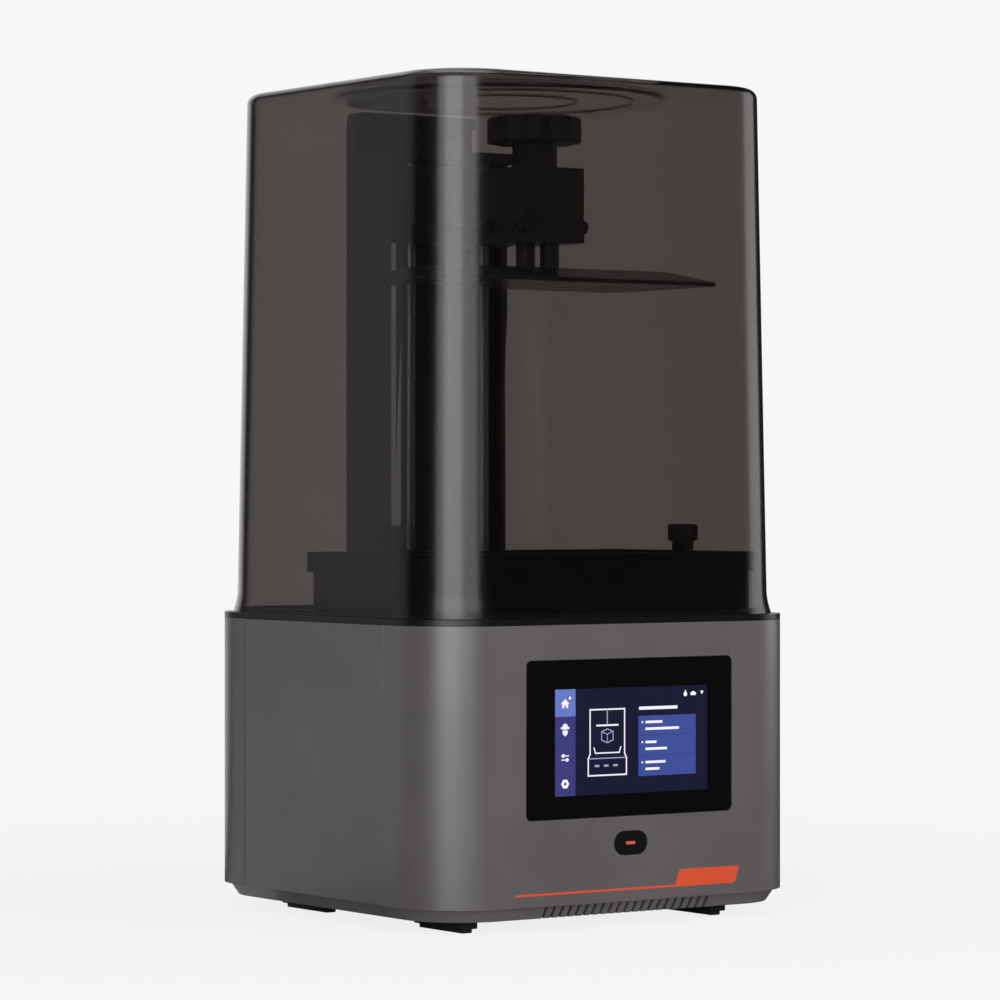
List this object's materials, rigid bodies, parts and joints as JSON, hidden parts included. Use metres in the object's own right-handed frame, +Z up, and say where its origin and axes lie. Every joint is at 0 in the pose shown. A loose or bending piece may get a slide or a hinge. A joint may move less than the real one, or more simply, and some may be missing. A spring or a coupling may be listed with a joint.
{
  "type": "resin printer",
  "caption": "Desktop resin printer: grey metal base with touch screen, smoked lift-off lid, Z column, build platform, vat, light engine, fan and power button.",
  "frame": {"origin": "middle of the footprint, on the plane the feet rest on", "axes": "+Z up; -Y is the front with the screen; +X is the machine's right seen from the front"},
  "size_m": [0.235, 0.23, 0.4304],
  "materials": {
    "grey_paint": "fine satin texture",
    "tray_paint": "satin",
    "rubber": "matt",
    "black_paint": "satin",
    "steel": "bright",
    "orange_print": "printed ink",
    "screen_glass": "polished",
    "display": "lit",
    "circuit_board": "solder mask",
    "black_plastic": "moulded",
    "orange_light": "lit",
    "brass": "turned",
    "led": "clear dome",
    "aluminium": "extruded",
    "lens": "clear",
    "lcd": "polished",
    "film": "clear",
    "anodised": "black anodised",
    "smoked_clear": "polished"
  },
  "bodies": {
    "base": {"front_cover": "grey_paint", "rear_cover": "grey_paint", "side_panel_left": "grey_paint", "side_panel_right": "grey_paint", "bottom_tray": "tray_paint", "rubber_feet": "rubber", "chassis_pillars": "steel", "deck_plate": "black_paint", "deck_screws": "steel", "accent_stripe": "orange_print", "screen_glass": "screen_glass", "display_panel": "display", "display_board": "circuit_board", "display_bracket": "steel", "button_switch": "black_plastic", "button_board": "circuit_board", "mainboard": "circuit_board", "board_standoffs": "brass", "dc_inlet": "black_plastic", "usb_port": "steel", "usb_board": "circuit_board", "fan_frame": "black_plastic", "led_board": "circuit_board", "led_array": "led", "heatsink": "aluminium", "fresnel_lens": "lens", "light_hood": "steel", "exposure_lcd": "lcd", "lcd_cover_glass": "lcd", "vat_frame": "anodised", "vat_film": "film", "film_clamp_ring": "steel", "film_screws": "steel", "column_housing": "black_paint", "column_cap": "black_plastic", "column_screws": "black_plastic", "guide_side_plates": "anodised", "top_bearing_plate": "anodised", "bottom_bearing_block": "anodised", "screw_bearings": "steel", "guide_rods": "steel", "z_motor": "black_paint", "motor_bracket": "steel", "z_limit_sensor": "black_plastic"},
    "carriage": {"carriage_block": "anodised", "guide_bushings": "steel", "lead_nut": "black_plastic", "platform_arm": "anodised", "clamp_block": "anodised", "platform_head": "anodised", "build_plate": "anodised"},
    "lead_screw": {"lead_screw": "steel", "shaft_coupler": "aluminium"},
    "clamp_knob": {"clamp_knob": "black_plastic"},
    "thumbscrew_left": {"vat_thumbscrew_left": "black_plastic"},
    "thumbscrew_right": {"vat_thumbscrew_right": "black_plastic"},
    "power_button": {"power_button": "black_plastic", "button_light": "orange_light"},
    "fan_rotor": {"fan_rotor": "black_plastic"},
    "lid": {"lid_cover": "smoked_clear"}
  },
  "joints": [
    {"name": "z_travel", "type": "slide", "parent": "base", "child": "carriage", "axis": [0, 0, 1], "range_m": [-0.1683, 0]},
    {"name": "lead_screw_turn", "type": "hinge", "parent": "base", "child": "lead_screw", "pos_m": [0, 0.052, 0.2], "axis": [0, 0, 1], "range_deg": [-1, 15150]},
    {"name": "knob_turn", "type": "hinge", "parent": "carriage", "child": "clamp_knob", "pos_m": [0, -0.031, 0.4], "axis": [0, 0, 1], "range_deg": [0, 720]},
    {"name": "thumbscrew_left_turn", "type": "hinge", "parent": "base", "child": "thumbscrew_left", "pos_m": [-0.0935, -0.036, 0.19], "axis": [0, 0, 1], "range_deg": [0, 1080]},
    {"name": "thumbscrew_right_turn", "type": "hinge", "parent": "base", "child": "thumbscrew_right", "pos_m": [0.0935, -0.036, 0.19], "axis": [0, 0, 1], "range_deg": [0, 1080]},
    {"name": "button_press", "type": "slide", "parent": "base", "child": "power_button", "axis": [0, 1, 0], "range_m": [0, 0.001], "stiffness_N_per_m": 300, "springref_m": -0.004},
    {"name": "fan_spin", "type": "hinge", "parent": "base", "child": "fan_rotor", "pos_m": [0.045, 0.105, 0.075], "axis": [0, 1, 0], "continuous": true},
    {"name": "lid_lift", "type": "slide", "parent": "base", "child": "lid", "axis": [0, 0, 1], "range_m": [0, 0.3]}
  ],
  "couplings": [
    {"joint": "lead_screw_turn", "follows": "z_travel", "rad_per_m": -1570.8}
  ]
}
